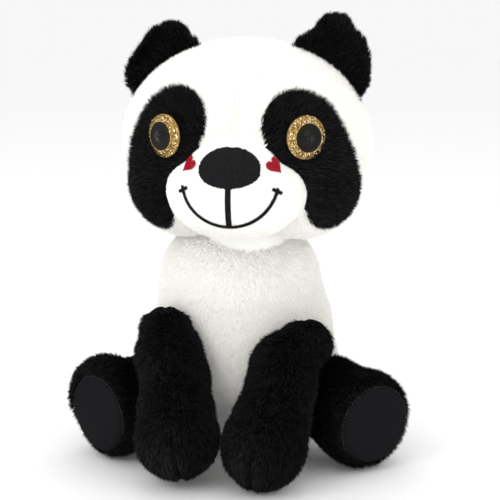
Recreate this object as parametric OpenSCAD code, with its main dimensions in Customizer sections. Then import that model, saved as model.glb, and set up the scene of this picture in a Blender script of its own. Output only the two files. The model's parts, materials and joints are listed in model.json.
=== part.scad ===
// Sitting plush panda, built piece by piece as it is sewn.
// Millimetres. +Z is up, the toy faces -Y, and X = 0 is its plane of symmetry.
// The origin is on the floor, under the middle of the neck.
// Left and right are the toy's own: its left side is at +X.
// A cover's outer surface stands at the tips of its pile.

/* [Torso] */
// Radius of the torso at the belly
belly_radius = 56; // [54:0.5:57]
// Radius of the torso just below the shoulders of the neck
chest_radius = 46; // [44:0.5:47]
// Height of the torso where the neck opening is
torso_height = 121; // [120:0.5:122]
// How far the torso's middle stands behind the neck
torso_back = 6; // [5:0.5:7]
// Thickness of cloth and pile together
cover_thickness = 3; // [2.5:0.1:3.2]
// Radius of the tail
tail_radius = 12; // [10:0.5:13]

/* [Head] */
// Width of the head across the temples
head_width = 148; // [144:1:150]
// Depth and height of the head
head_depth = 120; // [118:1:122]
// Height of the middle of the head above the floor
head_height = 186; // [185:0.5:188]
// Radius of each stuffed cheek
cheek_radius = 38; // [36:0.5:38.5]
// Distance of each cheek's middle from the plane of symmetry
cheek_apart = 32; // [30:0.5:33]
// Height of the neck's middle, on which the head turns and nods
neck_height = 130; // [129.5:0.25:130.5]
// Radius of the ball of stuffing in the neck
neck_radius = 30; // [28:0.5:30]

/* [Face] */
// Width of the muzzle
muzzle_width = 77.6; // [74:0.2:79]
// Depth and height of the muzzle
muzzle_depth = 62; // [60:0.5:63]
// Width of the nose pad
nose_width = 34.6; // [30:0.2:36]
// Height of the nose pad, measured along the cloth
nose_length = 24.4; // [22:0.2:27]
// Diameter of each eye over its glitter ring
eye_diameter = 25; // [22:0.5:26]
// Diameter of each pupil
pupil_diameter = 15.2; // [13:0.2:17]
// Angle by which each eye looks outwards
eye_splay = 36; // [33:0.5:38]
// Radius of the smile
smile_radius = 26.4; // [24:0.2:28]

/* [Ears] */
// Radius of each ear's rounded edge
ear_radius = 27; // [24:0.5:28]
// Thickness of each ear over its pile
ear_thickness = 9; // [8:0.25:9.5]

/* [Arms] */
// Radius of each arm at the paw
paw_radius = 23.6; // [22:0.2:23.6]
// Height of the right shoulder, which is posed a little higher than the left one
right_shoulder_height = 79; // [77:0.5:80]
// Height of the left shoulder
left_shoulder_height = 74.5; // [73:0.5:77]

/* [Legs] */
// Radius of each foot
foot_radius = 29.2; // [27:0.1:29.2]
// Angle by which each foot is turned out
foot_splay = 39.8; // [39.8:0.2:42]
// Radius of each sole pad
sole_radius = 24.5; // [22:0.5:24.5]

/* [Shown] */
// Which piece is drawn

/* [Hidden] */
$fn = 72;
gap = 0.3;
wall = cover_thickness;
hw = head_width / 2;
hd = head_depth / 2;
mw = muzzle_width / 2;
md = muzzle_depth / 2;
neck = [0, 0, neck_height];
seam_y = 4;
hip = [50, -14, 29.8];
leg_turn = foot_splay;
right_shoulder = [-41, -40, right_shoulder_height];
left_shoulder = [36, -39, left_shoulder_height];
right_paw = [-27, -88, 24.6];
left_paw = [21, -88, 24.6];
ear_lean = atan2(0.6, 0.8);
ear_foot = [53, seam_y, 234];
ear_below = 7.1;
eye_at = [40, -50.2, 192.6];
eye_tip = 3;
er = eye_diameter / 2;
pr = pupil_diameter / 2;
ink = [0.05, 0.05, 0.055];
snow = [0.97, 0.96, 0.93];

// ---------- shared forms ----------

// An oval of revolution that lies along X, from its half width and its radius
module oval(half, radius)
  rotate([0, 90, 0]) rotate_extrude()
    polygon([for (t = [-90 : 9 : 90]) [max(0, radius * cos(t)), half * sin(t)]]);

// Everything on one side of a plane across X, Y or Z
module right_of(x) translate([x, -300, -300]) cube([600, 600, 900]);
module left_of(x) translate([x - 600, -300, -300]) cube([600, 600, 900]);
module behind(y) translate([-300, y, -300]) cube([600, 600, 900]);
module before(y) translate([-300, y - 600, -300]) cube([600, 600, 900]);
module above(z) translate([-300, -300, z]) cube([600, 600, 600]);
module below(z) translate([-300, -300, z - 600]) cube([600, 600, 600]);

// Turns +Z to point along v
module along(v) rotate([0, acos(v[2] / norm(v)), atan2(v[1], v[0])]) children();

// ---------- torso forms ----------

// The torso, drawn in by i on every side
module torso_form(i) intersection() {
  translate([0, torso_back, 0]) rotate_extrude()
    polygon([[0, i], [belly_radius - 12 - i, i], [belly_radius - 6 - i, 5 + i * 0.5],
             [belly_radius - 2 - i, 18], [belly_radius - i, 40], [belly_radius - i, 65],
             [belly_radius - 1 - i, 80], [belly_radius - 5 - i, 100],
             [chest_radius - i, 112], [chest_radius - 4 - i, 117],
             [chest_radius - 10 - i, torso_height - i], [0, torso_height - i]]);
  rotate([90, 0, 90]) translate([0, 0, -80]) linear_extrude(160)
    polygon([[-28 + i, 0], [-33 + i, 5], [-36 + i, 16], [-37 + i, 40], [-36 + i, 65],
             [-34 + i, 85], [-35 + i, 100], [-36 + i, 112], [-32 + i, 125],
             [42 - i, 125], [49 - i, 108], [55 - i, 90], [60 - i, 65], [61 - i, 40],
             [58 - i, 18], [51 - i, 4], [47 - i, 0]]);
}

// Room in the torso for the neck, the shoulders and the hips, which is plainer in the filling
module torso_room(round = true) {
  translate(neck) sphere(neck_radius + 0.4);
  for (s = [[left_shoulder, left_paw], [right_shoulder, right_paw]]) {
    translate(s[0]) rotate([0, 90, 0]) cylinder(r = 19, h = 44, center = true);
    arm_place(s[0], s[1]) limb(arm_profile(-0.6));
  }
  for (m = [0, 1]) mirror([m, 0, 0]) {
    if (round) translate(hip) sphere(21.4);
    else translate(hip) cylinder(r = 21.7, h = 43, center = true);
    for (swing = [0, 7.5, 15]) translate(hip) rotate([90, 0, leg_turn + swing])
      limb(leg_profile(-0.6));
  }
}

module torso_shell() difference() { torso_form(0); torso_form(wall); torso_room(); }

// ---------- limb forms ----------

// A limb spun about its own axis from [radius, distance] points
module limb(points, turn = 360) rotate_extrude(angle = turn) polygon(points);

// The arm's outline from the shoulder to the paw, drawn in by i
function arm_profile(i) = let (p = paw_radius)
  [[0, -14 + i], [12 - i * 0.6, -12 + i * 0.8], [16 - i * 0.9, -7 + i * 0.5], [18 - i, 0],
   [19.5 - i, 18], [20.5 - i, 36], [p - 1.6 - i, 56], [p - i, 70],
   [p - 1.4 - i, 79 - i * 0.3], [p - 6 - i * 0.8, 87 - i * 0.6],
   [p - 14 - i * 0.5, 92.5 - i * 0.8], [0, 95 - i]];

module arm_place(from, to) translate(from) along(to - from) children();

// The leg's outline from the hip to the rim of the sole, drawn in by i
function leg_profile(i) = let (f = foot_radius)
  [[0, -16 + i], [9 - i * 0.6, -13 + i * 0.7], [17 - i * 0.9, -6 + i * 0.4], [20.5 - i, 0],
   [24 - i, 12], [f - 2 - i, 26], [f - i, 38], [f - 0.7 - i, 46 - i * 0.3],
   [sole_radius + 1.8 - i * 0.6, 50 - i * 0.6], [0, 50 - i * 0.6]];

module leg_place() translate(hip) rotate([90, 0, leg_turn]) rotate([0, 0, 90]) children();

// Half a cover: the outline less the outline drawn in, spun through half a turn
module half_cover(outer, inner, start) rotate([0, 0, start]) difference() {
  limb(outer, 180);
  rotate([0, 0, -10]) limb(inner, 200);
}

// ---------- head forms ----------

// The head without its muzzle, drawn in by i
module head_form(i) {
  translate([0, 0, head_height]) oval(hw - i, hd - i);
  for (s = [-1, 1]) translate([s * cheek_apart, -6, head_height - 21]) sphere(cheek_radius - i);
}

// The muzzle, drawn in by i
module muzzle_form(i) translate([0, -47, head_height - 24]) oval(mw - i, md - i);

// Room in the head for the ball of the neck, and the flat under the head
module head_room() {
  translate(neck) sphere(neck_radius + 0.4);
  below(neck_height + 1);
}

// The black patch around the left eye, as a prism through the face
module patch_prism() {
  top = [2, 197];
  foot = [26, 155];
  way = atan2(foot[1] - top[1], foot[0] - top[0]);
  rotate([90, 0, 38]) linear_extrude(90)
    polygon([for (k = [0 : 12]) let (t = way + 90 + k * 15) top + 25 * [cos(t), sin(t)],
             for (k = [0 : 12]) let (t = way - 90 + k * 15) foot + 19.5 * [cos(t), sin(t)]]);
}

module head_shell() difference() { head_form(0); head_form(wall); head_room(); }

// The left eye's own frame: its +Z looks out of the face
module eye_place() translate(eye_at) rotate([90, 0, eye_splay]) children();

// What an eye takes out of the cloth: the seat of the ring and the hole for the shank
module eye_seat() eye_place() {
  translate([0, 0, -1.3]) cylinder(r = er + gap, h = 12);
  translate([0, 0, -12]) cylinder(r = 3.2, h = 24);
}

// A thin skin that follows the muzzle's cloth, from just above it up to h
module muzzle_skin(h) difference() { muzzle_form(-h); muzzle_form(-0.05); }

// A rounded bar between two points of a drawing
module stitch(a, b, w) translate([(a[0] + b[0]) / 2, (a[1] + b[1]) / 2])
  rotate(atan2(b[1] - a[1], b[0] - a[0])) square([norm(b - a) + w, w], center = true);

// ---------- torso pieces ----------

module belly_panel() color(snow) intersection() { torso_shell(); before(seam_y); above(wall); }

module back_panel_left() color(snow) intersection() {
  torso_shell(); behind(seam_y); right_of(0); above(wall);
}

module back_panel_right() color(snow) intersection() {
  torso_shell(); behind(seam_y); left_of(0); above(wall);
}

module base_panel() color(snow) difference() {
  intersection() { torso_form(0); below(wall); }
  torso_room();
}

module torso_stuffing() color([0.92, 0.92, 0.9]) difference() {
  intersection() { torso_form(wall + gap); above(wall + gap); }
  torso_room(round = false);
  translate([0, 14, -1]) cylinder(r = 30.3, h = 21.6);
}

module pellet_bag() color([0.85, 0.83, 0.76]) translate([0, 14, 4.3]) rotate_extrude()
  polygon([[0, 0], [27, 0], [29.2, 2], [30, 5], [30, 11], [29.2, 14], [27, 16], [0, 16]]);

// The tail's outline in a circle of radius r, from the cloth it is sewn to out to its tip
function tail_arc(r) = let (low = -asin(4.8 / r)) [for (k = [0 : 8])
  let (a = low + (90 - low) * k / 8) [k == 8 ? 0 : r * cos(a), 4.8 + r * sin(a)]];

module tail_place() translate([0, 61.2, 32]) rotate([-90, 0, 0]) children();

module tail_cover() color(snow) tail_place() rotate_extrude()
  polygon(concat(tail_arc(tail_radius),
                 [for (k = [8 : -1 : 0]) tail_arc(tail_radius - wall)[k]]));

module tail_stuffing() color([0.92, 0.92, 0.9]) tail_place() translate([0, 0, gap])
  rotate_extrude() polygon(concat([[0, 0]], tail_arc(tail_radius - wall - 2 * gap)));

module care_label() color([0.96, 0.96, 0.96]) translate([0, torso_back, 0]) rotate([0, 0, -24])
  translate([-8, belly_radius + 0.4, 10]) cube([16, 0.4, 24]);

// ---------- neck ----------

module neck_stuffing() color([0.92, 0.92, 0.9]) translate(neck) sphere(neck_radius);

// ---------- head pieces ----------

module face_panel_left() color(snow) difference() {
  intersection() { head_shell(); before(seam_y); right_of(0); }
  patch_prism();
  muzzle_form(0);
}

module face_panel_right() color(snow) mirror([1, 0, 0]) difference() {
  intersection() { head_shell(); before(seam_y); right_of(0); }
  patch_prism();
  muzzle_form(0);
}

module head_back_left() color(snow) intersection() {
  head_shell(); behind(seam_y); right_of(0);
}

module head_back_right() color(snow) intersection() {
  head_shell(); behind(seam_y); left_of(0);
}

module patch_left() difference() {
  intersection() { head_shell(); patch_prism(); before(seam_y); right_of(0); }
  muzzle_form(0);
  eye_seat();
}

module eye_patch_left() color(ink) patch_left();
module eye_patch_right() color(ink) mirror([1, 0, 0]) patch_left();

module muzzle_cover() color(snow) difference() {
  muzzle_form(0);
  muzzle_form(wall);
  head_form(wall);
  head_room();
}

module head_stuffing() color([0.92, 0.92, 0.9]) difference() {
  union() { head_form(wall + gap); muzzle_form(wall + gap); }
  head_room();
  for (m = [0, 1]) mirror([m, 0, 0]) eye_place() {
    translate([0, 0, -14]) cylinder(r = 3.5, h = 24);
    translate([0, 0, -8.4]) cylinder(r = 8.4, h = 12);
    translate([0, 0, -2]) cylinder(r = er + 0.5, h = 12);
  }
}

module nose_pad() color([0.12, 0.12, 0.13]) intersection() {
  muzzle_skin(3);
  translate([0, -47, head_height - 24]) rotate([90 - 34, 0, 0]) linear_extrude(60)
    polygon([for (t = [0 : 12 : 348]) [nose_width / 2 * cos(t), nose_length / 2 * sin(t)]]);
}

module mouth_embroidery() color(ink) intersection() {
  muzzle_skin(1.2);
  translate([0, -50, head_height]) rotate([90, 0, 0]) linear_extrude(60) {
    z = -13.6;
    difference() {
      translate([0, z]) circle(smile_radius + 1);
      translate([0, z]) circle(smile_radius - 1);
      translate([-50, z - smile_radius + 19]) square([100, 60]);
    }
    translate([-1.6, -40]) square([1.5, 20.4]);
    translate([0.1, -40]) square([1.5, 20.4]);
    for (s = [-1, 1]) stitch([s * 23.4, -19.6], [s * 27.6, -22.4], 1.8);
  }
}

module heart_left() intersection() {
  muzzle_skin(0.9);
  translate([0, -47, head_height - 24]) rotate([0, 0, 56]) rotate([90 - 31, 0, 0]) rotate([0, 0, 14])
    linear_extrude(60) polygon([for (t = [0 : 15 : 345])
      0.29 * [16 * pow(sin(t), 3), 13 * cos(t) - 5 * cos(2 * t) - 2 * cos(3 * t) - cos(4 * t)]]);
}

module cheek_heart_left() color([0.7, 0.08, 0.12]) heart_left();
module cheek_heart_right() color([0.7, 0.08, 0.12]) mirror([1, 0, 0]) heart_left();

module iris() eye_place() difference() {
  translate([0, 0, -1]) rotate_extrude()
    polygon([[0, 0], [er, 0], [er, 1.6], [er - 0.7, 2.6], [er - 2.5, 3.4], [pr - 0.6, 4], [0, 4]]);
  translate([0, 0, -2]) cylinder(r = 3, h = 12);
}

module pupil() eye_place() rotate_extrude()
  polygon([[0, -9], [2.8, -9], [2.8, eye_tip + 0.05], [pr, eye_tip + 0.05], [pr - 0.3, eye_tip + 0.7],
           [pr * 0.75, eye_tip + 1.6], [pr * 0.4, eye_tip + 2.1], [0, eye_tip + 2.3]]);

module washer() eye_place() difference() {
  translate([0, 0, -8]) cylinder(r = 8, h = 1.6);
  translate([0, 0, -9]) cylinder(r = 2.9, h = 4);
}

module eye_iris_left() color([0.8, 0.65, 0.3]) iris();
module eye_iris_right() color([0.8, 0.65, 0.3]) mirror([1, 0, 0]) iris();
module eye_pupil_left() color([0.03, 0.02, 0.02]) pupil();
module eye_pupil_right() color([0.03, 0.02, 0.02]) mirror([1, 0, 0]) pupil();
module eye_washer_left() color([0.9, 0.9, 0.9]) washer();
module eye_washer_right() color([0.9, 0.9, 0.9]) mirror([1, 0, 0]) washer();

// ---------- ears ----------

// The left ear's own frame: +Z points out of the head along the ear, +Y is backwards
module ear_place() translate(ear_foot) rotate([0, ear_lean, 0]) children();

module ear() ear_place() {
  intersection() {
    translate([0, 0, -ear_below]) rotate([90, 0, 0]) rotate_extrude() let (h = ear_thickness / 2)
      polygon([[0, -h], [ear_radius - 5, -h], [ear_radius - 1.5, -h * 0.6], [ear_radius, 0],
               [ear_radius - 1.5, h * 0.6], [ear_radius - 5, h], [0, h]]);
    above(0);
  }
  rotate([0, 90, 0]) cylinder(r = ear_thickness / 2 - 0.1, h = 44, center = true);
}

module ear_front() intersection() { ear(); before(seam_y); }
module ear_back() intersection() { ear(); behind(seam_y); }

module ear_front_left() color(ink) ear_front();
module ear_back_left() color(ink) ear_back();
module ear_front_right() color(ink) mirror([1, 0, 0]) ear_front();
module ear_back_right() color(ink) mirror([1, 0, 0]) ear_back();

// ---------- arms ----------

module arm_outer_left() color(ink) arm_place(left_shoulder, left_paw)
  half_cover(arm_profile(0), arm_profile(wall), 20);
module arm_inner_left() color(ink) arm_place(left_shoulder, left_paw)
  half_cover(arm_profile(0), arm_profile(wall), 200);
module arm_stuffing_left() color([0.92, 0.92, 0.9]) arm_place(left_shoulder, left_paw)
  limb(arm_profile(wall + gap));
module arm_outer_right() color(ink) arm_place(right_shoulder, right_paw)
  half_cover(arm_profile(0), arm_profile(wall), 160);
module arm_inner_right() color(ink) arm_place(right_shoulder, right_paw)
  half_cover(arm_profile(0), arm_profile(wall), -20);
module arm_stuffing_right() color([0.92, 0.92, 0.9]) arm_place(right_shoulder, right_paw)
  limb(arm_profile(wall + gap));

// ---------- legs ----------

// The leg's cloth ends in a mouth that the sole pad closes
module leg_half(start) leg_place() rotate([0, 0, start]) difference() {
  limb(leg_profile(0), 180);
  rotate([0, 0, -10]) limb(leg_profile(wall), 200);
  translate([0, 0, 48]) cylinder(r = sole_radius + gap, h = 12);
}

module sole() leg_place() rotate_extrude()
  polygon([[0, 48.9], [sole_radius, 48.9], [sole_radius, 50.6], [sole_radius - 6, 52.2],
           [sole_radius - 15, 53], [0, 53.2]]);

module leg_stuffing() leg_place() limb(leg_profile(wall + gap));

module leg_outer_left() color(ink) leg_half(180);
module leg_inner_left() color(ink) leg_half(0);
module sole_pad_left() color([0.11, 0.11, 0.12]) sole();
module leg_stuffing_left() color([0.92, 0.92, 0.9]) leg_stuffing();
module leg_outer_right() color(ink) mirror([1, 0, 0]) leg_half(180);
module leg_inner_right() color(ink) mirror([1, 0, 0]) leg_half(0);
module sole_pad_right() color([0.11, 0.11, 0.12]) mirror([1, 0, 0]) sole();
module leg_stuffing_right() color([0.92, 0.92, 0.9]) mirror([1, 0, 0]) leg_stuffing();

belly_panel();
back_panel_left();
back_panel_right();
base_panel();
torso_stuffing();
pellet_bag();
tail_cover();
tail_stuffing();
care_label();
neck_stuffing();
face_panel_left();
face_panel_right();
head_back_left();
head_back_right();
eye_patch_left();
eye_patch_right();
muzzle_cover();
head_stuffing();
nose_pad();
mouth_embroidery();
cheek_heart_left();
cheek_heart_right();
eye_iris_left();
eye_iris_right();
eye_pupil_left();
eye_pupil_right();
eye_washer_left();
eye_washer_right();
ear_front_left();
ear_back_left();
ear_front_right();
ear_back_right();
arm_outer_left();
arm_inner_left();
arm_stuffing_left();
arm_outer_right();
arm_inner_right();
arm_stuffing_right();
leg_outer_left();
leg_inner_left();
sole_pad_left();
leg_stuffing_left();
leg_outer_right();
leg_inner_right();
sole_pad_right();
leg_stuffing_right();
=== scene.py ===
import json
import math
import random
import bmesh
import bpy
from mathutils import Matrix, Vector
from mathutils.bvhtree import BVHTree


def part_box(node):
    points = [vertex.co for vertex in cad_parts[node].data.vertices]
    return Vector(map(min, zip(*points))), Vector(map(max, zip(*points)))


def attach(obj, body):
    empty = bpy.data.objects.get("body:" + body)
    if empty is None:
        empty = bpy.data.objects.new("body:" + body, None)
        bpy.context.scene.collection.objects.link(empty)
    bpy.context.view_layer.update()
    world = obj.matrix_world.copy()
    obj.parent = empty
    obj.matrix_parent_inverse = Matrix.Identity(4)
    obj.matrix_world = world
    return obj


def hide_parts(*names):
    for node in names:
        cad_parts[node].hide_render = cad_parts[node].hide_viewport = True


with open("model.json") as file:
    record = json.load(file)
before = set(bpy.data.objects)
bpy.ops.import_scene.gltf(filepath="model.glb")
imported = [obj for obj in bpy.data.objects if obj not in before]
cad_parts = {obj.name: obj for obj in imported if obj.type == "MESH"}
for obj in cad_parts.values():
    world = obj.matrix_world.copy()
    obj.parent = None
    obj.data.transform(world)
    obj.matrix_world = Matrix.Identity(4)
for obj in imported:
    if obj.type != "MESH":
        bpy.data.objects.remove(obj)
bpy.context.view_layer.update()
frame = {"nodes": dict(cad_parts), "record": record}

# ---- torso ----
# A barrel of white long-pile cloth: belly panel, two back panels that meet in a
# centre-back seam, and a flat base. The panels are sewn together and stuffed.
# Every soft form below is in millimetres until its mesh is finished.

MM = 0.001
UPRIGHT = Matrix.Identity(4)


def principled(name, colour, rough=0.85, metal=0.0, shine=0.3, coat=0.0, sheen=0.0):
    material = bpy.data.materials.new(name)
    material.use_nodes = True
    shader = material.node_tree.nodes["Principled BSDF"]
    shader.inputs["Base Color"].default_value = (*colour, 1)
    shader.inputs["Roughness"].default_value = rough
    shader.inputs["Metallic"].default_value = metal
    shader.inputs["Specular IOR Level"].default_value = shine
    shader.inputs["Coat Weight"].default_value = coat
    shader.inputs["Coat Roughness"].default_value = 0.03
    shader.inputs["Sheen Weight"].default_value = sheen
    return material


def new_object(name, bm):
    mesh = bpy.data.meshes.new(name)
    bm.to_mesh(mesh)
    bm.free()
    obj = bpy.data.objects.new(name, mesh)
    bpy.context.scene.collection.objects.link(obj)
    return obj


def bake_modifiers(obj):
    graph = bpy.context.evaluated_depsgraph_get()
    mesh = bpy.data.meshes.new_from_object(obj.evaluated_get(graph))
    obj.modifiers.clear()
    obj.data = mesh
    return obj


def smooth_shaded(obj):
    for face in obj.data.polygons:
        face.use_smooth = True
    return obj


def clay(name, lumps, voxel=3.0, passes=12, swell=1.5):
    """One closed form from overlapping lumps, each (centre, radii, turn), in millimetres."""
    bm = bmesh.new()
    for centre, radii, turn in lumps:
        place = Matrix.Translation(centre) @ turn @ Matrix.Diagonal((*radii, 1))
        bmesh.ops.create_uvsphere(bm, u_segments=36, v_segments=20, radius=1, matrix=place)
    obj = new_object(name, bm)
    remesh = obj.modifiers.new("Remesh", "REMESH")
    remesh.mode = "VOXEL"
    remesh.voxel_size = voxel
    ease = obj.modifiers.new("Smooth", "SMOOTH")
    ease.iterations = passes
    ease.factor = 0.5
    bake_modifiers(obj)
    for v, away in [(v, v.normal.copy()) for v in obj.data.vertices]:
        v.co += away * swell
    return obj


PUFF_FRAMES = 20


def puff(obj, region, most, pressure=4.0):
    """Fills a form: its panels swell between their seams, by no more than so many millimetres."""
    mesh = obj.data
    kinds = [region(p.center, p.normal) for p in mesh.polygons]
    around = [set() for v in mesh.vertices]
    for p, kind in zip(mesh.polygons, kinds):
        for i in p.vertices:
            around[i].add(kind)
    seam = [i for i, s in enumerate(around) if len(s) > 1]
    before = [v.co.copy() for v in mesh.vertices]
    mesh.transform(Matrix.Scale(MM, 4))
    group = obj.vertex_groups.new(name="seam")
    group.add(seam, 1.0, "REPLACE")
    cloth = obj.modifiers.new("Cloth", "CLOTH")
    cloth.settings.use_pressure = True
    cloth.settings.uniform_pressure_force = pressure
    cloth.settings.vertex_group_mass = "seam"
    cloth.settings.effector_weights.gravity = 0
    cloth.settings.mass = 0.15
    cloth.settings.tension_stiffness = 12
    cloth.settings.compression_stiffness = 12
    cloth.settings.bending_stiffness = 0.4
    cloth.point_cache.frame_start = 1
    cloth.point_cache.frame_end = PUFF_FRAMES
    for moment in range(1, PUFF_FRAMES + 1):
        bpy.context.scene.frame_set(moment)
    bake_modifiers(obj)
    bpy.context.scene.frame_set(1)
    obj.data.transform(Matrix.Scale(1 / MM, 4))
    for v, was in zip(obj.data.vertices, before):
        move = v.co - was
        if move.length > most:
            v.co = was + move * (most / move.length)
    obj.vertex_groups.clear()
    return obj


def finer(obj, levels=1, passes=2):
    fine = obj.modifiers.new("Finer", "SUBSURF")
    fine.levels = levels
    fine.render_levels = levels
    ease = obj.modifiers.new("Smooth", "SMOOTH")
    ease.iterations = passes
    return bake_modifiers(obj)


def panels(obj, region, groove=0.9, flush=()):
    """Cuts a form along its seams into one open panel per region, {region: object}."""
    bm = bmesh.new()
    bm.from_mesh(obj.data)
    mark = bm.faces.layers.int.new("panel")
    kind = {f: region(f.calc_center_median(), f.normal) for f in bm.faces}
    names = sorted(set(kind.values()))
    for f, name in kind.items():
        f[mark] = names.index(name)
    line = {}
    for e in bm.edges:
        if len({f[mark] for f in e.link_faces}) > 1:
            for v in e.verts:
                line.setdefault(v, []).append(e)
    for _ in range(8):
        moved = {v: sum((e.other_vert(v).co for e in es), Vector()) / len(es) for v, es in line.items()}
        for v, co in moved.items():
            v.co = v.co.lerp(co, 0.5)
    bm.normal_update()
    sunk = {v: groove for v in line if not {names[f[mark]] for f in v.link_faces} <= set(flush)}
    for v in list(sunk):
        for e in v.link_edges:
            sunk.setdefault(e.other_vert(v), groove * 0.45)
    for v, move in {v: v.normal * depth for v, depth in sunk.items()}.items():
        v.co -= move
    made = {}
    for k, name in enumerate(names):
        part = bm.copy()
        kept = part.faces.layers.int["panel"]
        bmesh.ops.delete(part, geom=[f for f in part.faces if f[kept] != k], context="FACES")
        made[name] = new_object(name, part)
        made[name].data.transform(Matrix.Scale(MM, 4))
    bm.free()
    bpy.data.objects.remove(obj)
    return made


def cloth_back(obj, material, thick=1.0):
    """Gives an open panel the thickness of its woven ground."""
    solid = obj.modifiers.new("Ground", "SOLIDIFY")
    solid.thickness = thick * MM
    solid.offset = -1
    bake_modifiers(obj)
    obj.data.materials.clear()
    obj.data.materials.append(material)
    return smooth_shaded(obj)


def spike(name, material, wide, long, bend, sides=3, rings=1):
    """One lock of pile: a closed spike that leans over towards +X."""
    bm = bmesh.new()
    bmesh.ops.create_cone(bm, cap_ends=True, segments=sides, radius1=wide, radius2=0, depth=long,
                          matrix=Matrix.Translation((0, 0, long / 2)))
    for k in range(1, rings):
        z = long * k / rings
        bmesh.ops.bisect_plane(bm, geom=bm.verts[:] + bm.edges[:] + bm.faces[:], dist=1e-7,
                               plane_co=(0, 0, z), plane_no=(0, 0, 1))
    for v in bm.verts:
        t = v.co.z / long
        swell = 1 + 1.1 * t * (1 - t) * 2
        v.co.x = v.co.x * swell + bend * long * t * t
        v.co.y *= swell
    bm.normal_update()
    obj = new_object(name, bm)
    obj.data.materials.append(material)
    return obj


def lock_set(name, spikes):
    """Keeps the locks of one cloth together, so that each is picked at random."""
    group = bpy.data.collections.new(name)
    for obj in spikes:
        bpy.context.scene.collection.objects.unlink(obj)
        group.objects.link(obj)
    return group


def pile_group():
    """Node group that plants locks over a panel and combs them along the nap."""
    tree = bpy.data.node_groups.new("pile", "GeometryNodeTree")
    face = tree.interface
    face.new_socket("Geometry", in_out="INPUT", socket_type="NodeSocketGeometry")
    for name, kind in (("Density", "Float"), ("Length", "Float"), ("Stand", "Float"), ("Lay", "Float"),
                       ("Jitter", "Float"), ("Clump", "Float"), ("Clump Size", "Float"),
                       ("From", "Vector"), ("Seed", "Int"), ("Locks", "Collection")):
        face.new_socket(name, in_out="INPUT", socket_type="NodeSocket" + kind)
    face.new_socket("Geometry", in_out="OUTPUT", socket_type="NodeSocketGeometry")
    node, link = tree.nodes.new, tree.links.new
    start, end = node("NodeGroupInput"), node("NodeGroupOutput")

    def vector(operation, a, b=None, scale=None):
        n = node("ShaderNodeVectorMath")
        n.operation = operation
        link(a, n.inputs[0])
        if b is not None:
            link(b, n.inputs[1])
        if scale is not None:
            link(scale, n.inputs["Scale"])
        return n.outputs["Value"] if operation == "DOT_PRODUCT" else n.outputs["Vector"]

    spread = node("GeometryNodeDistributePointsOnFaces")
    link(start.outputs["Geometry"], spread.inputs["Mesh"])
    link(start.outputs["Density"], spread.inputs["Density"])
    link(start.outputs["Seed"], spread.inputs["Seed"])
    normal = spread.outputs["Normal"]
    place = node("GeometryNodeInputPosition").outputs["Position"]
    nap = vector("NORMALIZE", vector("SUBTRACT", place, start.outputs["From"]))
    rise = vector("SCALE", normal, scale=vector("DOT_PRODUCT", nap, normal))
    nap = vector("NORMALIZE", vector("SUBTRACT", nap, rise))
    tuft = node("ShaderNodeTexNoise")
    tuft.inputs["Detail"].default_value = 1.0
    link(place, tuft.inputs["Vector"])
    link(start.outputs["Clump Size"], tuft.inputs["Scale"])
    middle = node("ShaderNodeVectorMath")
    middle.operation = "SUBTRACT"
    middle.inputs[1].default_value = (0.5, 0.5, 0.5)
    link(tuft.outputs["Color"], middle.inputs[0])
    clump = vector("SCALE", middle.outputs["Vector"], scale=start.outputs["Clump"])
    loose = node("FunctionNodeRandomValue")
    loose.data_type = "FLOAT_VECTOR"
    loose.inputs[0].default_value = (-1, -1, -1)
    loose.inputs[1].default_value = (1, 1, 1)
    stray = vector("SCALE", loose.outputs[0], scale=start.outputs["Jitter"])
    way = vector("ADD", vector("SCALE", normal, scale=start.outputs["Stand"]),
                 vector("SCALE", nap, scale=start.outputs["Lay"]))
    way = vector("NORMALIZE", vector("ADD", vector("ADD", way, clump), stray))
    upright = node("FunctionNodeAlignRotationToVector")
    upright.axis = "Z"
    link(way, upright.inputs["Vector"])
    combed = node("FunctionNodeAlignRotationToVector")
    combed.axis = "X"
    combed.pivot_axis = "Z"
    link(upright.outputs["Rotation"], combed.inputs["Rotation"])
    link(vector("ADD", nap, clump), combed.inputs["Vector"])
    size = node("FunctionNodeRandomValue")
    size.data_type = "FLOAT"
    size.inputs[2].default_value = 0.7
    size.inputs[3].default_value = 1.15
    grow = node("ShaderNodeMath")
    grow.operation = "MULTIPLY"
    link(size.outputs[1], grow.inputs[0])
    link(start.outputs["Length"], grow.inputs[1])
    locks = node("GeometryNodeCollectionInfo")
    locks.inputs["Separate Children"].default_value = True
    locks.inputs["Reset Children"].default_value = True
    link(start.outputs["Locks"], locks.inputs["Collection"])
    plant = node("GeometryNodeInstanceOnPoints")
    link(spread.outputs["Points"], plant.inputs["Points"])
    link(locks.outputs[0], plant.inputs["Instance"])
    plant.inputs["Pick Instance"].default_value = True
    link(combed.outputs["Rotation"], plant.inputs["Rotation"])
    link(grow.outputs[0], plant.inputs["Scale"])
    real = node("GeometryNodeRealizeInstances")
    link(plant.outputs["Instances"], real.inputs["Geometry"])
    link(real.outputs["Geometry"], end.inputs["Geometry"])
    return tree


PILE = pile_group()


def pile(panel, name, locks, density, nap_from, seed, stand, lay, jitter, clump,
         clump_size=220.0, length=1.0):
    """Plants a panel with locks, so many to the square millimetre, as a piece of its own."""
    obj = panel.copy()
    obj.data = panel.data.copy()
    obj.name = name
    bpy.context.scene.collection.objects.link(obj)
    comb = obj.modifiers.new("Pile", "NODES")
    comb.node_group = PILE
    values = {"Density": density * 1e6, "Length": length, "Stand": stand, "Lay": lay, "Jitter": jitter,
              "Clump": clump, "Clump Size": clump_size, "From": [c * MM for c in nap_from],
              "Seed": seed, "Locks": locks}
    for socket in PILE.interface.items_tree:
        if socket.in_out == "INPUT" and socket.name in values:
            comb[socket.identifier] = values[socket.name]
    bake_modifiers(obj)
    obj.data.name = name
    return obj


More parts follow.
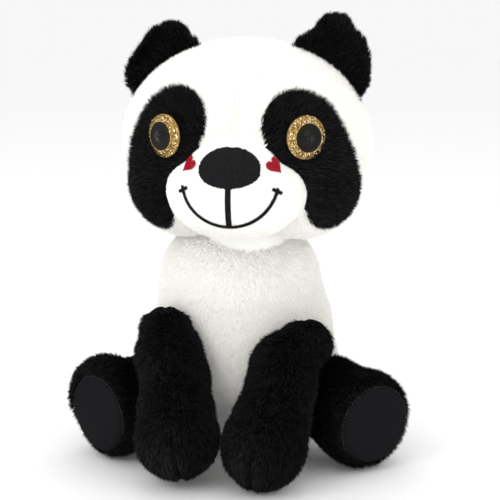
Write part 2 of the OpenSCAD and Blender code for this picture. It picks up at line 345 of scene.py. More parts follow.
WHITE_GROUND = principled("white_ground", (0.93, 0.915, 0.885), 0.95, shine=0.1)
WHITE_TIP = [principled("white_pile_a", (0.965, 0.952, 0.925), 0.9, shine=0.12),
             principled("white_pile_b", (0.945, 0.93, 0.9), 0.9, shine=0.12),
             principled("white_pile_c", (0.975, 0.965, 0.942), 0.9, shine=0.12)]
FLEECE = principled("white_fibre", (0.9, 0.9, 0.88), 0.95, shine=0.1)
white_locks = lock_set("white_locks", [
    spike(f"white_lock_{k}", m, 0.3 * MM, 2.7 * MM, 0.3) for k, m in enumerate(WHITE_TIP)])


def filling(inner, name, body, *nodes, shrink=2.4):
    """The fibre inside a cover: the same form before it swells, a little smaller."""
    bpy.context.scene.collection.objects.link(inner)
    inner.name = name
    inner.data.name = name
    for v, away in [(v, v.normal.copy()) for v in inner.data.vertices]:
        v.co -= away * shrink
    inner.data.transform(Matrix.Scale(MM, 4))
    inner.data.materials.clear()
    inner.data.materials.append(FLEECE)
    smooth_shaded(inner)
    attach(inner, body)
    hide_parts(*nodes)
    return inner


def twin(obj):
    copy = obj.copy()
    copy.data = obj.data.copy()
    return copy


def cover(panel, name, body, ground, slot, *nodes, thick=1.0):
    """Finishes a panel's woven ground and hangs it on its body."""
    panel.name = name
    cloth_back(panel, ground, thick)
    panel.data.name = name
    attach(panel, body)
    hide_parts(*nodes)
    return panel


def furred(panel, name, body, slot, locks, density, nap_from, seed, bare=None, **lie):
    """Plants a panel's pile, except where it is bare, and hangs it on the panel's body."""
    field = twin(panel)
    if bare:
        bm = bmesh.new()
        bm.from_mesh(field.data)
        hidden = [f for f in bm.faces if bare(f.calc_center_median() / MM)]
        bmesh.ops.delete(bm, geom=hidden, context="FACES")
        bm.to_mesh(field.data)
        bm.free()
    obj = pile(field, name, locks, density, nap_from, seed, **lie)
    bpy.data.objects.remove(field)
    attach(obj, body)
    return obj


torso_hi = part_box("back_panel_left")[1] / MM
belly_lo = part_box("belly_panel")[0] / MM
SEAM_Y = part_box("belly_panel")[1].y / MM
middle_y = (belly_lo.y + torso_hi.y) / 2
half_x, half_y = torso_hi.x - 2.6, (torso_hi.y - belly_lo.y) / 2 - 2.4


def torso_region(at, normal):
    if at.z < 3 and normal.z < -0.6:
        return "base"
    if at.y < SEAM_Y:
        return "belly"
    return "back_left" if at.x > 0 else "back_right"


torso = clay("torso_form", [
    ((0, middle_y, 47), (half_x, half_y, 50), UPRIGHT),
    ((-3.5, middle_y - 3, 68), (half_x + 0.5, half_y - 4, 56), UPRIGHT),
    ((-4.5, middle_y - 9, 98), (48.5, 38, 44), UPRIGHT)], voxel=4.0, passes=14, swell=1.0)
for v in torso.data.vertices:
    v.co.z = max(v.co.z, 1.2)
filling(twin(torso), "torso_filling", "torso", "torso_stuffing")
torso = panels(finer(puff(torso, torso_region, most=1.6)), torso_region)
OVERHEAD = (0, 0, 5000)
UNDER_HEAD = 134
WHITE_DENSITY = 2.0
SHORT = {"stand": 0.95, "lay": 0.55, "jitter": 0.3, "clump": 0.55, "clump_size": 260}
for panel, node, seed in (("belly", "belly_panel", 1), ("back_left", "back_panel_left", 2),
                          ("back_right", "back_panel_right", 3)):
    furred(torso[panel], panel + "_pile", "torso", "white_pile", white_locks, WHITE_DENSITY, OVERHEAD, seed,
           bare=lambda at: at.z > UNDER_HEAD, **SHORT)
    cover(torso[panel], panel + "_cloth", "torso", WHITE_GROUND, "white_pile", node)
cover(torso["base"], "base_cloth", "torso", WHITE_GROUND, "white_pile", "base_panel")


# ---- tail ----
# A small round white tail of the same long-pile cloth, stuffed and sewn flat
# against the centre-back seam.

tail_lo, tail_hi = (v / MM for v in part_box("tail_cover"))
tail_at = Vector((0, tail_lo.y + 4, (tail_lo.z + tail_hi.z) / 2))
tail = clay("tail_form", [(tail_at, (9.6, 10.4, 9.4), UPRIGHT)], voxel=2.2, passes=4, swell=1.0)
filling(twin(tail), "tail_filling", "torso", "tail_stuffing", shrink=2.0)
tail = panels(finer(tail, 1, 1), lambda at, normal: "tail", groove=0)["tail"]
furred(tail, "tail_pile", "torso", "white_pile", white_locks, WHITE_DENSITY, (0, 40, 60), 4,
       bare=lambda at: at.y < tail_lo.y, **SHORT)
cover(tail, "tail_cloth", "torso", WHITE_GROUND, "white_pile", "tail_cover")


# ---- care label ----
# A short loop of plain white satin ribbon, folded in half and caught in the
# side seam low on the back. It carries no printing.

SATIN = principled("label_satin", (0.93, 0.93, 0.94), 0.35, shine=0.5, sheen=0.3)
LABEL_WIDE, LABEL_LONG = 16, 48
label_lo, label_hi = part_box("care_label")
fold = LABEL_LONG / 2 * MM
bm = bmesh.new()
strip = bmesh.ops.create_grid(bm, x_segments=8, y_segments=32, size=0.5)["verts"]
turn = math.radians(-24)
out = Vector((-math.sin(turn), math.cos(turn), 0))
along_label = Vector((math.cos(turn), math.sin(turn), 0))
root = Vector(((label_lo.x + label_hi.x) / 2, (label_lo.y + label_hi.y) / 2, label_hi.z)) + out * 0.0012
for v in strip:
    across, down = v.co.x * LABEL_WIDE * MM, v.co.y * LABEL_LONG * MM
    side = 1 if down > 0 else -1
    drop = fold - abs(down)
    lift = side * (0.0004 + 0.0011 * math.sin(math.pi * min(1, abs(down) / fold)))
    v.co = root + along_label * across + out * (lift + 0.0016 * (drop / fold) ** 2) - Vector((0, 0, drop))
label = smooth_shaded(new_object("care_label_loop", bm))
label.data.materials.append(SATIN)
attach(label, "torso")
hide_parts("care_label")


# ---- neck ----
# A ball of packed fibre low in the head, on which the head turns and nods.

neck_lo, neck_hi = (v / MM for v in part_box("neck_stuffing"))
neck_at = (neck_lo + neck_hi) / 2
ball = (neck_hi.x - neck_lo.x) / 2
neck = clay("neck_form", [(neck_at, (ball, ball, ball), UPRIGHT)], voxel=4.0, passes=4, swell=0)
bpy.context.scene.collection.objects.unlink(neck)
filling(neck, "neck_filling", "neck", "neck_stuffing", shrink=0.6)


# ---- head ----
# A wide round head of the same white cloth: two face panels, two back panels,
# black patches let in round the eyes and a short-pile muzzle let in at the front.

head_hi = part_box("head_back_left")[1] / MM
muzzle_lo, muzzle_hi = (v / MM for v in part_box("muzzle_cover"))
head_mid = (muzzle_lo.z + muzzle_hi.z) / 2 + 24
snout = [((0, -46, head_mid - 25), (38, 30.5, 25.5)), ((0, -50, head_mid - 11), (25, 24, 17))]


PATCH_TURN = math.radians(38)
PATCH_TOP, PATCH_FOOT = 23.5, 20
SNOUT_SEAM = 2.6


def in_patch(at):
    """Inside the long rounded patch round an eye, seen square on to it."""
    spot = Vector((abs(at.x) * math.cos(PATCH_TURN) + at.y * math.sin(PATCH_TURN), at.z))
    top = Vector((1, 194.5)) if at.x > 0 else Vector((0.5, 196))
    foot = Vector((25, 157.5)) if at.x > 0 else Vector((23.5, 155.5))
    way = foot - top
    t = min(1, max(0, (spot - top).dot(way) / way.length_squared))
    return (spot - top - way * t).length < PATCH_TOP + (PATCH_FOOT - PATCH_TOP) * t


def in_snout(at):
    return any(sum(((a - b) / (r + SNOUT_SEAM)) ** 2 for a, b, r in zip(at, c, radii)) < 1
               for c, radii in snout)


def head_region(at, normal):
    side = "left" if at.x > 0 else "right"
    if at.y >= SEAM_Y:
        return "back_" + side
    if at.y < -30 and in_snout(at):
        return "muzzle"
    if at.y < -8 and in_patch(at):
        return "patch_" + side
    return "face_" + side


head = clay("head_form", [
    ((0, 0, head_mid), (head_hi.x - 1.6, 58, 58), UPRIGHT),
    ((32, -6, head_mid - 20), (36.5, 36, 35), UPRIGHT),
    ((-32, -6, head_mid - 20), (36.5, 36, 35), UPRIGHT)]
    + [(c, r, UPRIGHT) for c, r in snout], voxel=3.4, passes=9)
filling(twin(head), "head_filling", "head", "head_stuffing", shrink=2.6)
head = panels(finer(puff(head, head_region, most=1.2)), head_region, groove=0.55,
              flush=("face_left", "face_right"))

BLACK_GROUND = principled("black_ground", (0.003, 0.003, 0.0035), 0.95, shine=0.02)
BLACK_TIP = [principled("black_pile_a", (0.004, 0.004, 0.0045), 0.7, shine=0.1),
             principled("black_pile_b", (0.008, 0.008, 0.0085), 0.62, shine=0.14),
             principled("black_pile_c", (0.0025, 0.0025, 0.003), 0.7, shine=0.08)]
black_locks = lock_set("black_locks", [
    spike(f"black_lock_{k}", m, 0.34 * MM, 4.2 * MM, 0.35, rings=1 + k % 2) for k, m in enumerate(BLACK_TIP)])
BLACK_DENSITY = 2.3
DEEP = {"stand": 1.0, "lay": 0.6, "jitter": 0.34, "clump": 0.9, "clump_size": 240}

NOSE_TIP = (0, -84, head_mid - 14)


def under_chin(at):
    """The flat under the head, which the neck and the torso hide."""
    return at.z < 131 and abs(at.x) < 34 and at.y > -20


for side, seed in (("left", 5), ("right", 6)):
    for half, node in (("face", "face_panel_"), ("back", "head_back_")):
        furred(head[f"{half}_{side}"], node + side + "_pile", "head", "white_pile", white_locks,
               WHITE_DENSITY, NOSE_TIP, seed + (10 if half == "back" else 0), bare=under_chin, **SHORT)
        cover(head[f"{half}_{side}"], node + side + "_cloth", "head", WHITE_GROUND, "white_pile", node + side)
    furred(head[f"patch_{side}"], f"patch_{side}_pile", "head", "black_pile", black_locks,
           BLACK_DENSITY, NOSE_TIP, seed + 20, length=0.8, **DEEP)
    cover(head[f"patch_{side}"], f"patch_{side}_cloth", "head", BLACK_GROUND, "black_pile",
          f"eye_patch_{side}")


# ---- muzzle ----
# Short-pile white velour over a firm rounded snout, sewn into the face with a
# turned seam. Its locks are under a millimetre long.

def velour(name, colour, deep, grain, depth):
    """Short-cut pile: a fine mottled nap with the soft edge light of velour."""
    material = principled(name, colour, 0.9, shine=0.08, sheen=0.2 if colour[0] > 0.5 else 0.0)
    tree = material.node_tree
    shader = tree.nodes["Principled BSDF"]
    where = tree.nodes.new("ShaderNodeTexCoord")
    nap = tree.nodes.new("ShaderNodeTexNoise")
    nap.inputs["Scale"].default_value = grain
    nap.inputs["Detail"].default_value = 4
    nap.inputs["Roughness"].default_value = 0.7
    tree.links.new(where.outputs["Object"], nap.inputs["Vector"])
    tone = tree.nodes.new("ShaderNodeValToRGB")
    tone.color_ramp.elements[0].position = 0.3
    tone.color_ramp.elements[0].color = (*deep, 1)
    tone.color_ramp.elements[1].position = 0.65
    tone.color_ramp.elements[1].color = (*colour, 1)
    tree.links.new(nap.outputs["Fac"], tone.inputs["Fac"])
    tree.links.new(tone.outputs["Color"], shader.inputs["Base Color"])
    bump = tree.nodes.new("ShaderNodeBump")
    bump.inputs["Strength"].default_value = 0.6
    bump.inputs["Distance"].default_value = depth * MM
    tree.links.new(nap.outputs["Fac"], bump.inputs["Height"])
    tree.links.new(bump.outputs["Normal"], shader.inputs["Normal"])
    return material


MUZZLE_VELOUR = velour("muzzle_velour", (0.95, 0.937, 0.91), (0.88, 0.865, 0.83), 1500, 0.5)
short_locks = lock_set("short_locks", [
    spike(f"short_lock_{k}", m, 0.26 * MM, 0.9 * MM, 0.2) for k, m in enumerate(WHITE_TIP)])
furred(head["muzzle"], "muzzle_pile", "head", "muzzle_velour", short_locks, 2.4, NOSE_TIP, 31,
       stand=0.8, lay=0.7, jitter=0.4, clump=0.3)
muzzle = cover(head["muzzle"], "muzzle_cloth", "head", MUZZLE_VELOUR, "muzzle_velour", "muzzle_cover")


# ---- nose ----
# A dark embroidered oval: rows of satin stitches over a thin pad, with a slightly
# uneven edge, sewn through the muzzle just below its top.

def stitches(name, runs, thick, material, flat=0.8):
    """Sews short rounded stitches, each from one point to another with its own outward way."""
    bm = bmesh.new()
    for a, b, away in runs:
        along = (b - a).normalized()
        side = along.cross(away).normalized()
        up = side.cross(along)
        turn = Matrix((along, side, up)).transposed().to_4x4()
        half = (b - a).length / 2 + thick * 0.3
        shape = Matrix.Diagonal((half, thick, thick * flat, 1)) @ Matrix.Rotation(math.pi / 2, 4, "Y")
        place = Matrix.Translation((a + b) / 2) @ turn @ shape
        bmesh.ops.create_uvsphere(bm, u_segments=6, v_segments=5, radius=1, matrix=place)
    obj = smooth_shaded(new_object(name, bm))
    obj.data.materials.append(material)
    return obj


skin = BVHTree.FromObject(muzzle, bpy.context.evaluated_depsgraph_get())


def on_skin(start, way):
    hit, normal, _, _ = skin.ray_cast(Vector(start), Vector(way).normalized())
    return hit, normal


NOSE_THREAD = velour("nose_thread", (0.016, 0.0155, 0.017), (0.006, 0.006, 0.007), 900, 0.2)
nose_lo, nose_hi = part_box("nose_pad")
tilt = math.radians(34)
nose_out = Vector((0, -math.cos(tilt), math.sin(tilt)))
nose_up = Vector((0, math.sin(tilt), math.cos(tilt)))
nose_mid = Vector((0, -47, head_mid - 24)) * MM
wide, tall = (nose_hi.x - nose_lo.x) / 2, 12 * MM
PAD_PROUD, PAD_SUNK, ROW_PROUD = 2.0 * MM, 0.6 * MM, 2.15 * MM
ROW_PITCH = 0.62 * MM


def nose_point(a, b, proud):
    """A point of the nose's dome over the velour, from its place across and up the oval."""
    start = nose_mid + nose_out * 0.06 + Vector((a, 0, 0)) + nose_up * b
    hit, _ = on_skin(start, -nose_out)
    rim = min(1, (a / wide) ** 2 + (b / tall) ** 2)
    return hit + nose_out * proud * math.sqrt(1 - rim * 0.96)


def nose_reach(a):
    """Half the nose's height at a place across it, with the small dip at the top middle."""
    half = tall * math.sqrt(max(0, 1 - (a / wide) ** 2))
    dip = 1.5 * MM * math.exp(-((a - 0.6 * MM) / (1.5 * MM)) ** 2)
    return -half, half - dip


bm = bmesh.new()
bmesh.ops.create_uvsphere(bm, u_segments=48, v_segments=24, radius=1)
for v in bm.verts:
    a, b = v.co.x * wide * 0.97, v.co.y * tall * 0.97
    v.co = nose_point(a, b, PAD_PROUD) if v.co.z > 0 else nose_point(a, b, 0) - nose_out * PAD_SUNK
bmesh.ops.recalc_face_normals(bm, faces=bm.faces)
pad = smooth_shaded(new_object("nose_pad_core", bm))
pad.data.materials.append(NOSE_THREAD)
sewer = random.Random(3)
rows = []
a = -wide + 0.35 * MM
count = 0
while a < wide - 0.3 * MM:
    low, high = nose_reach(a)
    low -= sewer.uniform(0, 0.5) * MM
    high += sewer.uniform(0, 0.5) * MM
    b = low
    step = (1.7 + 1.4 * (count % 3)) * MM
    while b < high - 0.4 * MM:
        far = min(high, b + step)
        rows.append((nose_point(a, b, ROW_PROUD), nose_point(a, far, ROW_PROUD), nose_out))
        b = far
        step = 4.6 * MM
    a += ROW_PITCH
    count += 1
nose = stitches("nose_stitches", rows, 0.44 * MM, NOSE_THREAD)
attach(nose, "head")
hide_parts("nose_pad")
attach(pad, "head")


# ---- mouth ----
# A smile and two upright lines from the nose, in raised black satin stitch, with a
# short bar across each corner.

BLACK_THREAD = velour("black_thread", (0.014, 0.012, 0.013), (0.005, 0.005, 0.005), 900, 0.15)


def sewn_line(points, wide_by, pitch=0.55, slant=0.5):
    """Satin stitches side by side along a line drawn on the muzzle."""
    laid = []
    for p, q in zip(points, points[1:]):
        count = max(1, round((q - p).length / (pitch * MM)))
        laid += [p.lerp(q, k / count) for k in range(count)]
    laid.append(points[-1])
    runs = []
    for k, p in enumerate(laid[:-1]):
        way = (laid[k + 1] - p).normalized()
        across = Vector((-way.y, way.x)) * wide_by * MM / 2 + way * slant * wide_by * MM / 2
        ends = []
        for end in (p + across, p - across):
            hit, normal = on_skin((end.x, -0.15, end.y), (0, 1, 0))
            ends.append(hit + normal * 0.6 * MM)
        runs.append((ends[0], ends[1], normal))
    return runs


SMILE_WIDE, SMILE_DEEP = 26.8, 26.4
smile_mid = head_mid - 13.6
smile = []
for k in range(41):
    angle = math.radians(-90 + (k - 20) * 3.95)
    smile.append(Vector((SMILE_WIDE * math.cos(angle), smile_mid + SMILE_DEEP * math.sin(angle))) * MM)
chin_z = (smile_mid - SMILE_DEEP) * MM
lip_z = (nose_lo.z / MM - 0.8) * MM
runs = sewn_line(smile, 2.0)
for x in (-0.78, 0.78):
    runs += sewn_line([Vector((x * MM, lip_z + 0.004)), Vector((x * MM, chin_z))], 1.7, slant=0.3)
for s in (-1, 1):
    runs += sewn_line([Vector((s * 23.6, head_mid - 19.2)) * MM, Vector((s * 28.6, head_mid - 22.0)) * MM],
                      2.0, slant=0)
mouth = stitches("mouth_stitches", runs, 0.36 * MM, BLACK_THREAD)
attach(mouth, "head")
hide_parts("mouth_embroidery")


# ---- cheek hearts ----
# A small red heart on each cheek of the muzzle, in rows of satin stitch.

RED_THREAD = velour("red_thread", (0.44, 0.014, 0.028), (0.24, 0.006, 0.013), 900, 0.15)
HEART_SCALE = 0.345
outline = [(HEART_SCALE * 16 * math.sin(t) ** 3,
            HEART_SCALE * (13 * math.cos(t) - 5 * math.cos(2 * t) - 2 * math.cos(3 * t) - math.cos(4 * t)))
           for t in (math.radians(k * 3) for k in range(121))]
for side, s in (("left", 1), ("right", -1)):
    facing = Matrix.Rotation(math.radians(57.5) * s, 4, "Z") @ Matrix.Rotation(math.radians(59), 4, "X")
    facing = facing @ Matrix.Rotation(math.radians(22) * s, 4, "Z")
    runs = []
    row = -5.9
    while row < 4.8:
        spans = []
        for (x0, y0), (x1, y1) in zip(outline, outline[1:]):
            if (y0 - row) * (y1 - row) < 0:
                spans.append(x0 + (x1 - x0) * (row - y0) / (y1 - y0))
        spans.sort()
        for x0, x1 in zip(spans[::2], spans[1::2]):
            ends = []
            cuts = max(1, round((x1 - x0) / 1.5))
            for k in range(cuts + 1):
                start = nose_mid + (facing @ Vector((x0 + (x1 - x0) * k / cuts, row, 60))) * MM
                hit, normal = on_skin(start, facing @ Vector((0, 0, -1)))
                if hit:
                    ends.append(hit + normal * 0.75 * MM)
                    out = normal
            runs += [(p, q, out) for p, q in zip(ends, ends[1:]) if (q - p).length > 0.3 * MM]
        row += 0.46
    heart = stitches(f"heart_{side}_stitches", runs, 0.3 * MM, RED_THREAD)
    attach(heart, "head")
    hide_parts(f"cheek_heart_{side}")


# ---- eyes ----
# Each eye is a moulded gold-glitter ring with a glossy dark dome set in it, on a
# shank that a washer locks inside the head.

def turned(name, profile, place, material, steps=64):
    """Turns an outline of (radius, height) about an eye's axis."""
    bm = bmesh.new()
    points = [bm.verts.new((r * MM, 0, h * MM)) for r, h in profile]
    for a, b in zip(points, points[1:]):
        bm.edges.new((a, b))
    bmesh.ops.spin(bm, geom=bm.verts[:] + bm.edges[:], cent=(0, 0, 0), axis=(0, 0, 1),
                   angle=math.tau, steps=steps, use_merge=True)
    bmesh.ops.remove_doubles(bm, verts=bm.verts, dist=1e-6)
    bmesh.ops.recalc_face_normals(bm, faces=bm.faces)
    bm.transform(place)
    obj = smooth_shaded(new_object(name, bm))
    obj.data.materials.append(material)
    return obj


def arc(r0, h0, r1, h1, bow, n):
    """Points on a bowed line between two points of an outline."""
    points = []
    for k in range(n + 1):
        t = k / n
        nx, ny = h0 - h1, r1 - r0
        reach = math.hypot(nx, ny)
        lift = bow * 4 * t * (1 - t) / reach
        points.append((r0 + (r1 - r0) * t + nx * lift, h0 + (h1 - h0) * t + ny * lift))
    return points


GOLD = principled("gold_glitter", (0.36, 0.22, 0.055), 0.45, metal=0.6, shine=0.4)
FLAKES = [principled("gold_flake_a", (0.8, 0.56, 0.2), 0.25, metal=0.9),
          principled("gold_flake_b", (0.2, 0.11, 0.025), 0.3, metal=0.9),
          principled("gold_flake_c", (1.0, 0.92, 0.62), 0.14, metal=0.8)]
PUPIL = principled("pupil_plastic", (0.004, 0.0035, 0.003), 0.05, shine=0.17)
GAZE = math.radians(36)
for side, s in (("left", 1), ("right", -1)):
    low, high = (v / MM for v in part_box(f"eye_pupil_{side}"))
    iris_lo, iris_hi = (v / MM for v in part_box(f"eye_iris_{side}"))
    gaze = Vector((s * math.sin(GAZE), -math.cos(GAZE), 0))
    radius = (iris_hi.z - iris_lo.z) / 2 - 0.3
    hole = (high.z - low.z) / 2 + 0.5
    middle = Vector((s * 40, -50.2, (low.z + high.z) / 2))
    place = Matrix.Translation(middle * MM) @ gaze.to_track_quat("Z", "Y").to_matrix().to_4x4()
    ring = turned(f"eye_ring_{side}", [(0, -1.2), (radius - 0.6, -1.2), (radius, -0.6), (radius, 0.6)]
                  + arc(radius, 0.6, hole + 0.3, 3.3, 0.9, 8)
                  + [(hole, 3.3), (hole - 0.2, 2.6), (0, 2.6)], place, GOLD)
    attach(ring, "head")
    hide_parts(f"eye_iris_{side}")
    bm = bmesh.new()
    for _ in range(1300):
        turn = sewer.uniform(0, math.tau)
        t = sewer.random()
        r, h = arc(radius, 0.6, hole + 0.3, 3.3, 0.9, 40)[int(t * 40)]
        spot = Matrix.Translation((r * math.cos(turn) * MM, r * math.sin(turn) * MM, (h + 0.14) * MM))
        slope = Matrix.Rotation(turn, 4, "Z") @ Matrix.Rotation(math.radians(46 - 40 * t), 4, "Y")
        loose = Matrix.Rotation(sewer.gauss(0, 0.45), 4, "X") @ Matrix.Rotation(sewer.gauss(0, 0.45), 4, "Y")
        made = bmesh.ops.create_circle(bm, cap_ends=True, segments=6, radius=sewer.uniform(0.2, 0.42) * MM,
                                       matrix=place @ spot @ slope @ loose)
        tone = sewer.choice((0, 1, 1, 2))
        for face in {f for v in made["verts"] for f in v.link_faces}:
            face.material_index = tone
    flakes = new_object(f"eye_glitter_{side}", bm)
    for material in FLAKES:
        flakes.data.materials.append(material)
    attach(flakes, "head")
    dome = turned(f"eye_dome_{side}", [(0, -8), (2.6, -8), (2.6, 2.7), (hole - 0.1, 2.7), (hole - 0.2, 3.5),
                                       (hole - 0.7, 3.7), (hole - 1.0, 3.35)]
                  + arc(hole - 1.1, 3.4, 0, 5.4, 0.8, 12), place, PUPIL)
    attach(dome, "head")
    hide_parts(f"eye_pupil_{side}")


# ---- ears ----
# Thin cupped black ears in two pieces, sewn into the seam over the
# head. The right one's tip has flopped forwards.

FLOP_FROM, FLOP_RADIUS = 11, 7
for side, s in (("left", 1), ("right", -1)):
    foot = Vector((s * 53, SEAM_Y, 234))
    n = Vector((s * 0.6, 0, 0.8))
    across = Vector((0.8, 0, -s * 0.6))
    frame_ear = Matrix((across, Vector((0, 1, 0)), n)).transposed().to_4x4()
    frame_ear.translation = foot - n * 7.1
    back = frame_ear.inverted()
    ear_turn = frame_ear.to_3x3().to_4x4()
    tip = (-10, 17) if side == "left" else (13, 9)
    ear = clay(f"ear_{side}_form", [
        (frame_ear @ Vector((0, 0, -1)), (25, 4.6, 24), ear_turn),
        (frame_ear @ Vector((0, 0, 8)), (18, 4.4, 18), ear_turn),
        (frame_ear @ Vector((tip[0], 0, tip[1])), (11, 4, 12), ear_turn)], voxel=2.6, passes=4, swell=0.8)
    for v in ear.data.vertices:
        a, d, b = back @ v.co
        cup = 9.5 * (a * a + max(0, b) ** 2 * 0.3) / 625 - 2.5
        d -= cup
        beyond = (-0.31 * a + 0.95 * b) - FLOP_FROM
        if side == "right" and beyond > 0:
            bend = min(beyond / FLOP_RADIUS, 2.0)
            straight = beyond - bend * FLOP_RADIUS
            d -= FLOP_RADIUS * (1 - math.cos(bend)) + straight * math.sin(bend)
            kept = FLOP_RADIUS * math.sin(bend) + straight * math.cos(bend) - beyond
            a -= 0.31 * kept
            b += 0.95 * kept
        v.co = frame_ear @ Vector((a, d, b))
    parts = panels(finer(ear, 1, 1), lambda at, normal: "front" if normal.y < 0 else "back", groove=0.3)
    for half, seed in (("front", 41), ("back", 43)):
        furred(parts[half], f"ear_{half}_{side}_pile", f"ear_{side}", "black_pile", black_locks,
               BLACK_DENSITY, tuple(foot - n * 30), seed + s, length=0.85,
               bare=lambda at: (back @ at).z < -8, **DEEP)
        cover(parts[half], f"ear_{half}_{side}_cloth", f"ear_{side}", BLACK_GROUND, "black_pile",
              f"ear_{half}_{side}", thick=0.8)


# ---- arms ----
# Straight round arms of black cloth in an outer and an inner half, stuffed, and
# sewn closed into the shoulder so that they hang in front of the belly.

joints = {j["name"]: j for j in frame["record"]["behaviour"]["joints"]}


def limb_frame(root, tip):
    """A limb's own axes: Z runs down the limb and X points away from the body's middle."""
    z = (tip - root).normalized()
    side = Vector((1 if root.x > 0 else -1, 0, 0))
    x = (side - z * side.dot(z)).normalized()
    turned_to = Matrix((x, z.cross(x), z)).transposed().to_4x4()
    turned_to.translation = root
    return turned_to


for side, s, seed in (("left", 1, 51), ("right", -1, 61)):
    shoulder = Vector(joints[f"arm_{side}_lift"]["pos_m"]) / MM
    paw = Vector((21 if s > 0 else -27, -88, 24.6))
    limb = limb_frame(shoulder, paw)
    back = limb.inverted()
    square = limb.to_3x3().to_4x4()
    elbow = Vector((-4, -2, 19)) if s > 0 else Vector((0.5, -2, 19))
    arm = clay(f"arm_{side}_form", [
        (limb @ Vector((5 if s > 0 else 1.5, 0, 0)), (12.5, 13, 12.5), square),
        (limb @ elbow, (17, 16, 19), square),
        (limb @ Vector((-1.5, 0, 34)), (17.6, 17, 20), square),
        (limb @ Vector((-0.5, 0, 54)), (19, 18.8, 22), square),
        (limb @ Vector((0, 0, 70)), (21, 21, 22.4 if s > 0 else 20.4), square)], voxel=3.2, passes=8)

    def arm_region(at, normal):
        return "outer" if (back @ at).x > 0 else "inner"

    filling(twin(arm), f"arm_{side}_filling", f"arm_{side}", f"arm_stuffing_{side}")
    parts = panels(finer(puff(arm, arm_region, most=1.2)), arm_region)
    for half in ("outer", "inner"):
        furred(parts[half], f"arm_{half}_{side}_pile", f"arm_{side}", "black_pile", black_locks,
               BLACK_DENSITY, tuple(shoulder + Vector((0, 10, 60))), seed + (half == "inner"),
               bare=lambda at: (back @ at).z < -6, **DEEP)
        cover(parts[half], f"arm_{half}_{side}_cloth", f"arm_{side}", BLACK_GROUND, "black_pile",
              f"arm_{half}_{side}")


# ---- legs ----
# Short thick black legs, turned outwards, that end in a flat round sole of smooth
# charcoal velour sewn into the mouth of the leg.

SOLE_VELOUR = velour("sole_velour", (0.0075, 0.0075, 0.009), (0.004, 0.004, 0.005), 900, 0.5)
SEAM_THREAD = principled("seam_thread", (0.02, 0.02, 0.022), 0.35, shine=0.4)
SOLE_FACE = 49.5
SOLE_LOW = Vector((0, 0, 1.5))
SEAM_RADIUS, SEAM_STITCHES = 22.9, 64
splay = math.radians(39.8)
for side, s, seed in (("left", 1, 71), ("right", -1, 81)):
    hip = Vector(joints[f"leg_{side}_swing"]["pos_m"]) / MM
    way = Vector((s * math.sin(splay), -math.cos(splay), 0))
    limb = limb_frame(hip, hip + way)
    back = limb.inverted()
    square = limb.to_3x3().to_4x4()
    plump = Vector((-2.5, 1, 3.5)) if s < 0 else Vector((-1, 0, 0))
    leg = clay(f"leg_{side}_form", [
        (limb @ Vector((0, 0, 0)) + Vector((0, 0, 4.5)), (22, 22, 22), square),
        (limb @ Vector((0, 0, 14)) + Vector((0, 0, 2)), (22.5, 22.5, 20), square),
        (limb @ Vector((0, 0, 27)), (24.4, 24.4, 20), square),
        (limb @ Vector((0, 0, 37)), (25.4, 25.4, 22), square),
        (limb @ Vector((0, 0, 38)) + plump, (25.8, 25.8, 18), square)], voxel=3.2, passes=8)
    for v in leg.data.vertices:
        at = back @ v.co
        if at.z > SOLE_FACE:
            v.co = limb @ Vector((at.x, at.y, SOLE_FACE))

    def leg_region(at, normal):
        own = back @ (at + SOLE_LOW)
        if own.z > 45 and math.hypot(own.x, own.y) < 24.4:
            return "sole"
        return "outer" if own.x > 0 else "inner"

    filling(twin(leg), f"leg_{side}_filling", f"leg_{side}", f"leg_stuffing_{side}")
    parts = panels(finer(puff(leg, leg_region, most=1.2)), leg_region)
    for half in ("outer", "inner"):
        furred(parts[half], f"leg_{half}_{side}_pile", f"leg_{side}", "black_pile", black_locks,
               BLACK_DENSITY, tuple(hip - way * 60 + Vector((0, 0, 30))), seed + (half == "inner"),
               bare=lambda at: (back @ at).z < -2, **DEEP)
        cover(parts[half], f"leg_{half}_{side}_cloth", f"leg_{side}", BLACK_GROUND, "black_pile",
              f"leg_{half}_{side}")
    sole_tree = BVHTree.FromObject(parts["sole"], bpy.context.evaluated_depsgraph_get())
    runs = []
    for k in range(SEAM_STITCHES):
        ends = []
        for turn in (k, k + 0.62):
            spoke = math.tau * turn / SEAM_STITCHES
            rim = Vector((SEAM_RADIUS * math.cos(spoke), SEAM_RADIUS * math.sin(spoke), 80))
            start = limb @ rim - SOLE_LOW
            hit, normal, _, _ = sole_tree.ray_cast(start * MM, -way)
            if hit:
                ends.append(hit + normal * 0.15 * MM)
        if len(ends) == 2:
            runs.append((ends[0], ends[1], way))
    seam = stitches(f"sole_{side}_stitches", runs, 0.26 * MM, SEAM_THREAD)
    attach(seam, f"leg_{side}")
    cover(parts["sole"], f"sole_{side}_cloth", f"leg_{side}", SOLE_VELOUR, "sole_velour", f"sole_pad_{side}")


# ---- pellet bag and washers ----
# The bag of plastic pellets that weighs the seat, and the washers that lock the
# eyes, are hidden inside and keep the shapes they were cut and moulded to.

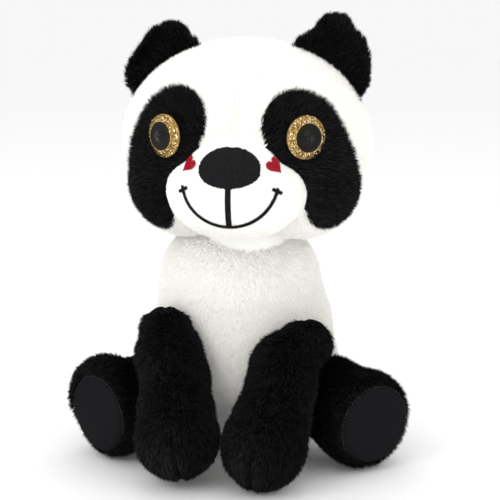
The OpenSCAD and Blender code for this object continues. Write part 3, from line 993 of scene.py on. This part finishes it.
for node, material in (("pellet_bag", velour("pellet_cloth", (0.7, 0.67, 0.58), (0.6, 0.57, 0.48), 700, 0.3)),
                       ("eye_washer_left", principled("washer_plastic", (0.8, 0.8, 0.78), 0.4)),
                       ("eye_washer_right", bpy.data.materials["washer_plastic"])):
    for held in frame["nodes"][node].material_slots:
        held.material = material


# ---- floor, light and camera ----
# A plain white floor under soft studio light, seen from slightly above and to the
# toy's left.

bm = bmesh.new()
bmesh.ops.create_circle(bm, cap_ends=True, segments=64, radius=120)
floor = new_object("floor", bm)
floor.data.materials.append(principled("floor_white", (0.93, 0.93, 0.93), 0.7, shine=0.1))

world = bpy.data.worlds.new("studio")
world.use_nodes = True
world.node_tree.nodes["Background"].inputs["Color"].default_value = (1, 1, 1, 1)
world.node_tree.nodes["Background"].inputs["Strength"].default_value = 1.0
bpy.context.scene.world = world


def softbox(name, at, size, tall_by, power):
    light = bpy.data.lights.new(name, "AREA")
    light.shape = "RECTANGLE"
    light.size = size
    light.size_y = tall_by
    light.energy = power
    lamp = bpy.data.objects.new(name, light)
    lamp.visible_camera = False
    lamp.location = at
    lamp.rotation_euler = (Vector(at) - Vector((0, 0, 0.13))).to_track_quat("Z", "Y").to_euler()
    bpy.context.scene.collection.objects.link(lamp)
    return lamp


softbox("key_light", (-0.75, -1.05, 1.0), 0.7, 0.7, 4)
softbox("fill_light", (1.1, -0.9, 0.7), 0.9, 0.9, 2)
softbox("low_light", (0.05, -1.25, 0.1), 0.6, 0.3, 2.6)
softbox("top_light", (0, 0.35, 1.4), 0.9, 0.9, 2.5)
softbox("strip_light", (-0.12, -1.1, 0.42), 0.09, 0.8, 1.2)

bpy.context.scene.view_settings.view_transform = "Standard"
turn, rise, reach = math.radians(7.5), math.radians(10.5), 0.838
aim = Vector((0.002, 0, 0.119))
back = Vector((math.sin(turn) * math.cos(rise), -math.cos(turn) * math.cos(rise), math.sin(rise)))
lens = bpy.data.cameras.new("camera")
lens.lens = 100
lens.sensor_width = 36
camera = bpy.data.objects.new("camera", lens)
camera.location = aim + back * reach
camera.rotation_euler = back.to_track_quat("Z", "Y").to_euler()
bpy.context.scene.collection.objects.link(camera)
bpy.context.scene.camera = camera
